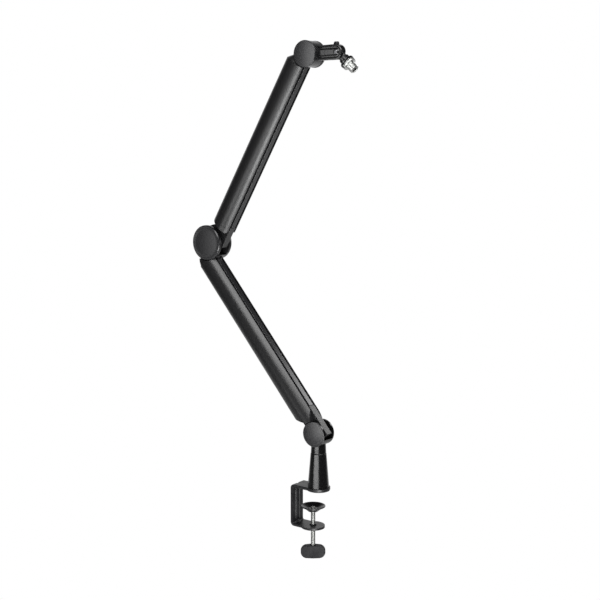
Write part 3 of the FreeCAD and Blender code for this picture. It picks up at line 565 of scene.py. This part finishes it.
# Upper arm: the same extruded tube, cover strip and cast knuckle, with a cranked tongue. The head's
# open barrel is plugged into its upper end.
upper_start, upper_end, upper_crank = 49.5, 373.8, 10.0
upper_place = pitched(elbow, upper_angle) @ Matrix.Translation((0, 0, -upper_crank * MM))
upper_blade = [(upper_start, 12), (12, 22), (-7, 22), (-14, 15), (-14, 1), (8, -cover_face),
               (upper_start, -cover_face)]
knuckle("upper_tongue", "upper_knuckle", "upper_arm", upper_start, 10.5, upper_blade, upper_place)
arm_tube("upper_barrel_tube", "upper_tube", "upper_arm", upper_start, upper_end, upper_place)
cable_cover("upper_cover_strip", "upper_cable_cover", "upper_arm", upper_start + 0.4,
            upper_end - 0.4, upper_place)
hub, hub_half, hub_room = 22.1, 11.5, 0.8
head_at = (397.0, -12.85)
neck_band, neck_tip, neck_end = 1.4, 9, upper_end + 13
neck = rod([(0, upper_end), (neck_radius, upper_end), (neck_radius, upper_end + neck_band),
            (neck_tip, neck_end), (0, neck_end)])
hinge_barrel("head_drum", "head_yoke", "upper_arm", neck, head_at, barrel, barrel_half, upper_place,
             disc(hub + hub_room, slot_half, head_at))
close_hinge("head", "upper_arm", head, barrel, barrel_half)

# Mount link: die-cast bar whose round hub turns in the head. A groove round each side leaves a rim
# and a middle rib, and its front end is forked for the holder.

# Thicker paint on a smooth casting: darker and a little glossier than the barrels.
link_paint = coated_material("semi-gloss black paint on zinc casting", "#141415", 0.26, 0.8, 0.003,
                             spread=0.015)
link_long, link_round, link_edge, link_angle = 57.0, 12.5, 1.6, 2.0
rib_edge, rib_round = 5, 2.2
groove_start, groove_level, groove_radius = 19.0, 7.3, 3.4
mark_radius, mark_x = 2.4, 36.5
fork_gap, fork_depth, fork_roof = 3.3, 13, 9.5
link_place = pitched(head, link_angle)


def groove_cutter(side):
    """Round cutter that runs along one side of the link, round its fork end and back."""
    shape = bmesh.new()
    start = Vector((groove_start, side * (tongue_half + 0.6), groove_level)) * MM
    bmesh.ops.create_circle(shape, segments=24, radius=groove_radius * MM,
                            matrix=Matrix.Translation(start) @ lie_along)
    edges = shape.edges[:]
    run = link_long - groove_start
    for length in (run, 0, -run):
        geom = edges + list({v for e in edges for v in e.verts})
        if length:
            grown = bmesh.ops.spin(shape, geom=geom, cent=(0, 0, 0), axis=(0, 0, 1), angle=0.0,
                                   dvec=(length * MM, 0, 0), steps=1, use_merge=False)
        else:
            grown = bmesh.ops.spin(shape, geom=geom, cent=(link_long * MM, 0, 0), axis=(0, 1, 0),
                                   angle=math.pi, steps=24, use_merge=False)
        edges = only(bmesh.types.BMEdge, grown["geom_last"])
    bmesh.ops.holes_fill(shape, edges=shape.edges[:], sides=0)
    bmesh.ops.recalc_face_normals(shape, faces=shape.faces)
    return shape


bm = carve(disc(link_round, tongue_half, (link_long, 0), 96),
           box((0, -tongue_half, -link_round), (link_long, tongue_half, link_round)),
           operation="UNION")
bmesh.ops.dissolve_limit(bm, angle_limit=math.radians(0.5), verts=bm.verts, edges=bm.edges)
soften(bm, link_edge, 4, 40)
turning = disc(hub, hub_half)
soften(turning, 0.5, 2, 40)
bm = carve(bm, *[groove_cutter(side) for side in (-1, 1)])
crown = []
for e in bm.edges:
    centre = (e.verts[0].co + e.verts[1].co) / 2 / MM
    from_rib = math.hypot(max(0, centre.x - link_long), centre.z)
    if abs(centre.y) > tongue_half - 0.1 and e.calc_face_angle() > 0.5 and from_rib < rib_edge:
        crown.append(e)
round_edges(bm, crown, rib_round, 5)
marks = []
for side in (-1, 1):
    mark = disc(mark_radius, 1.0, (mark_x, 0), 32)
    bmesh.ops.translate(mark, vec=(0, side * (tongue_half + 0.5) * MM, 0), verts=mark.verts)
    marks.append(mark)
bm = carve(bm, turning, operation="UNION")
bm = carve(bm, *marks, box((link_long - fork_depth, -fork_gap, -wide),
                           (link_long + wide, fork_gap, fork_roof)))
soften(bm, 0.4, 2, 50)
piece("cast_link", bm, "link", link_paint, ["mount_link"], link_place)

# Tilt rivet: steel pin through the link's fork with a domed head on each side, the holder's hinge.
# It is turned, blackened and headed in place.

# Chemical blackening: a dark grey metal with a soft glint on its domes.
blackened = coated_material("blackened steel", "#7a7a7c", 0.34, 0.8, 0.001, metallic=1.0,
                            spread=0.01)
pin_radius, head_seat = 2.5, 6.5
pin_head = [(4.0, head_seat), (4.0, 6.9), (3.5, 7.4), (2.6, 7.75), (1.4, 7.95), (0, 8.0)]
pin = [(pin_radius, -head_seat), (pin_radius, head_seat)]
bm = lathe([(r, -h) for r, h in pin_head[::-1]] + pin + pin_head, 48)
piece("tilt_rivet", bm, "link", blackened, ["tilt_pin"],
      Matrix.Translation(tilt) @ Matrix.Rotation(math.pi / 2, 4, "X"), smooth=50)

# Thumb screw: a small moulded nylon knob on a short shank in the link's roof, which locks the tilt.
# It is low and conical, with eight flutes for the fingers.


def flute(shape, beyond_mm, share, count):
    """Shallow flutes round a turned shape, outside a radius."""
    for v in shape.verts:
        if math.hypot(v.co.x, v.co.y) > beyond_mm * MM:
            ridge = 1 - share * (0.5 + 0.5 * math.cos(count * math.atan2(v.co.y, v.co.x)))
            v.co.x *= ridge
            v.co.y *= ridge


shank, shank_foot, thumb_foot, thumb_top, thumb_back = 2, 9.2, 12.6, 16.9, 1.6
bm = lathe([(0, shank_foot), (shank, shank_foot), (shank, thumb_foot), (4.7, thumb_foot),
            (5.0, 13.0), (5.0, 13.8), (4.0, 16.4), (3.5, thumb_top), (0, thumb_top)], 48)
flute(bm, 2.9, 0.09, 8)
piece("thumb_screw", bm, "lock", knob_plastic, ["tilt_lock_screw"],
      link_place @ Matrix.Translation(((link_long - thumb_back) * MM, 0, 0)), smooth=40)

# Tilting holder: cast tongue that turns on the rivet between the fork's cheeks and runs out into a
# round socket with a flange, in which the stud is pressed. It has the link's paint.
stud_angle = -40.5
eye_radius, eye_half, eye_arm, eye_web = 9, 3, 20, 6.5
holder_place = pitched(tilt, stud_angle)
bm = carve(disc(eye_radius, eye_half, steps=64),
           box((0, -eye_half, -eye_web), (eye_arm, eye_half, eye_web)), operation="UNION")
soften(bm, 0.5, 2, 40)
socket = lathe([(0, 16), (7.6, 16), (9, 17.6), (9, 22.6), (9.8, 23.8), (11.6, 24.2), (12.5, 25),
                (12.5, 26.6), (12.1, 27), (0, 27)], 80)
bmesh.ops.transform(socket, matrix=lie_along, verts=socket.verts)
join(bm, socket)
piece("tilt_holder", bm, "holder", link_paint, ["mic_holder"], holder_place)

# Stud and lock ring: turned brass, chrome plated. The stud has a 5/8 inch thread of 27 turns per
# inch and a bore in its end; the ring is knurled for the fingers.

# Bright plating over turned brass: a pale mirror, blurred a little by the tool marks.
chrome = coated_material("chrome-plated brass", "#c9cac8", 0.3, 0.8, 0.002, metallic=1.0,
                         spread=0.02)
stud_seat, stud_root, stud_end, stud_chamfer = 27, 34.0, 46.0, 0.6
stud_neck, stud_core, stud_crest, stud_depth, stud_pitch = 7.4, 7.55, 7.92, 0.45, 0.94
stud_bore, bore_depth = 4.3, 12
bm = lathe([(0, stud_seat), (stud_neck, stud_seat), (stud_neck, stud_root), (stud_core, stud_root),
            (stud_core, stud_end - stud_chamfer), (6.8, stud_end), (4.8, stud_end),
            (stud_bore, stud_end - stud_chamfer), (stud_bore, stud_end - bore_depth),
            (0, stud_end - bore_depth)], 64)
join(bm, thread(stud_crest, stud_depth, stud_pitch, stud_root, stud_end - 0.3, 40))
piece("threaded_stud", bm, "holder", chrome, ["mic_stud"],
      holder_place @ lie_along, smooth=40)
ring_bore, ring_radius, ring_bevel, ring_low, ring_high, ridges = 7.5, 11.8, 11.0, 28.5, 33.5, 40
bm = lathe([(ring_bore, ring_low), (ring_bevel, ring_low), (ring_radius, ring_low + 0.6),
            (ring_radius, ring_high - 0.6), (ring_bevel, ring_high), (ring_bore, ring_high)],
           4 * ridges, closed=True)
flute(bm, 11.5, 0.035, ridges)
piece("knurled_ring", bm, "ring", chrome, ["stud_ring"],
      holder_place @ lie_along, smooth=40)

# Studio: a pale paper floor and a sky that stay white to the camera, soft lamps, and the camera at
# the photograph's place. Metal and gloss paint mirror white behind the object and a dim room before
# it. Small cards light single pieces.
view_azimuth, view_elevation = math.radians(36.52), math.radians(8.59)
away = (-math.sin(view_azimuth), math.cos(view_azimuth), 0)
sky_fill, sky_dim = 0.25, 0.03
sky_white, floor_white = (0.6, 0.95), (0.85, 1.1)


def white_to_camera(tree, lit, white_kind, fade_start, fade_end):
    """Lit floor or sky that is white to the camera and, far enough behind, in mirrors too."""
    path = add_node(tree, "ShaderNodeLightPath")
    place = add_node(tree, "ShaderNodeTexCoord")
    behind = add_node(tree, "ShaderNodeVectorMath", [(0, place.outputs["Object"])],
                      operation="DOT_PRODUCT")
    behind.inputs[1].default_value = away
    sweep = add_node(tree, "ShaderNodeMapRange", [("Value", behind.outputs["Value"])],
                     From_Min=fade_start, From_Max=fade_end)
    mirrored = add_node(tree, "ShaderNodeMath", [(0, path.outputs["Is Glossy Ray"]),
                                                 (1, sweep.outputs["Result"])],
                        operation="MULTIPLY")
    through = add_node(tree, "ShaderNodeMath", [(0, path.outputs["Is Camera Ray"]),
                                                (1, path.outputs["Is Transmission Ray"])],
                       operation="MAXIMUM")
    seen = add_node(tree, "ShaderNodeMath", [(0, through.outputs[0]), (1, mirrored.outputs[0])],
                    operation="MAXIMUM")
    white = add_node(tree, white_kind, Color=(1, 1, 1, 1), Strength=1.0)
    return add_node(tree, "ShaderNodeMixShader", [(0, seen.outputs[0]), (1, lit.outputs[0]),
                                                  (2, white.outputs[0])])


world = bpy.data.worlds.new("studio")
bpy.context.scene.world = world
world.use_nodes = True
tree = world.node_tree
sky = tree.nodes["Background"]
sky.inputs["Color"].default_value = (1, 1, 1, 1)
path = add_node(tree, "ShaderNodeLightPath")
level = add_node(tree, "ShaderNodeMapRange", [("Value", path.outputs["Is Glossy Ray"])],
                 To_Min=sky_fill, To_Max=sky_dim)
tree.links.new(level.outputs["Result"], sky.inputs["Strength"])
mixed = white_to_camera(tree, sky, "ShaderNodeBackground", *sky_white)
tree.links.new(mixed.outputs[0], tree.nodes["World Output"].inputs["Surface"])

floor_spot, floor_half = (-0.4, 0.55, -0.45), 1.5
bm = bmesh.new()
bmesh.ops.create_grid(bm, x_segments=1, y_segments=1, size=floor_half,
                      matrix=Matrix.Translation(floor_spot))
mesh = bpy.data.meshes.new("floor")
bm.to_mesh(mesh)
bm.free()
floor = bpy.data.objects.new("floor", mesh)
bpy.context.scene.collection.objects.link(floor)
paper = bpy.data.materials.new("white paper backdrop")
paper.use_nodes = True
tree = paper.node_tree
coat = tree.nodes["Principled BSDF"]
coat.inputs["Base Color"].default_value = linear("#e9e9e9")
coat.inputs["Roughness"].default_value = 0.9
mixed = white_to_camera(tree, coat, "ShaderNodeEmission", *floor_white)
tree.links.new(mixed.outputs[0], tree.nodes["Material Output"].inputs["Surface"])
mesh.materials.append(paper)

eye_spot = (1.2169, -1.6980, 0.6539)
right = Vector((math.cos(view_azimuth), math.sin(view_azimuth), 0))
back = Vector((math.sin(view_azimuth) * math.cos(view_elevation),
               -math.cos(view_azimuth) * math.cos(view_elevation), math.sin(view_elevation)))
facing = Matrix((right, back.cross(right), back)).transposed().to_4x4()
camera = bpy.data.cameras.new("camera")
camera.sensor_width = 36.0
camera.lens = 73.54
eye = bpy.data.objects.new("camera", camera)
eye.matrix_world = Matrix.Translation(eye_spot) @ facing
bpy.context.scene.collection.objects.link(eye)
bpy.context.scene.camera = eye


def softbox(name, spot, target, width, tall, power):
    """Area lamp that stands at a spot and faces a target; the camera looks past it."""
    lamp = bpy.data.lights.new(name, "AREA")
    lamp.shape = "RECTANGLE"
    lamp.size, lamp.size_y, lamp.energy = width, tall, power
    thing = bpy.data.objects.new(name, lamp)
    facing = (Vector(spot) - Vector(target)).to_track_quat("Z", "Y").to_matrix().to_4x4()
    thing.matrix_world = Matrix.Translation(spot) @ facing
    thing.visible_camera = False
    bpy.context.scene.collection.objects.link(thing)
    return thing


def link_light(lamp, state, names):
    """Lamp that reaches the named pieces alone, or all but those."""
    group = bpy.data.collections.new(lamp.name + " reach")
    for name in names:
        group.objects.link(bpy.data.objects[name])
    lamp.light_linking.receiver_collection = group
    for item in group.collection_objects:
        item.light_linking.link_state = state


discs = [f"{hinge}_disc_{word}" for hinge in ("base", "elbow", "head")
         for word in ("front", "back")]
shiny = ["threaded_stud", "knurled_ring"]
softbox("top softbox", (0.46, -0.55, 1.275), (-0.22, -0.15, 0.25), 1.45, 0.6, 14.6)
low = softbox("low softbox", (0.56, -0.56, -0.17), (-0.09, 0, 0.66), 0.4, 0.5, 6.7)
link_light(low, "EXCLUDE", ["post_cone", "base_fork"])
softbox("front strip", (0.17, -1.28, -0.12), (0.02, 0, 0.04), 1.44, 0.14, 4.4)
softbox("back softbox", (0.34, 0.81, 0.63), (0, 0, 0.1), 0.3, 0.3, 1.4)
left_card = softbox("left card", (-0.71, -1.36, 0.38), (-0.1, 0, 0.38), 0.37, 1.5, 5.6)
link_light(left_card, "INCLUDE", discs + ["cast_link", "tilt_rivet", "tilt_holder"] + shiny)
elbow_card = softbox("elbow card", (-1.14, -1.36, 0.24), (-0.3, 0, 0.4), 0.37, 0.6, 0.6)
link_light(elbow_card, "INCLUDE", [name for name in discs if name.startswith("elbow")])
reflector = softbox("metal reflector", (0.75, -1.5, 0.5), (0, 0, 0.3), 1.6, 1.6, 9)
link_light(reflector, "INCLUDE", ["screw_rod"] + shiny)
rear_card = softbox("rear card", (0, 1.5, 0.4), (0, 0, 0.4), 2.4, 1.3, 9)
link_light(rear_card, "INCLUDE", [name for name in discs if name.endswith("back")])
bpy.context.scene.view_settings.view_transform = "Standard"
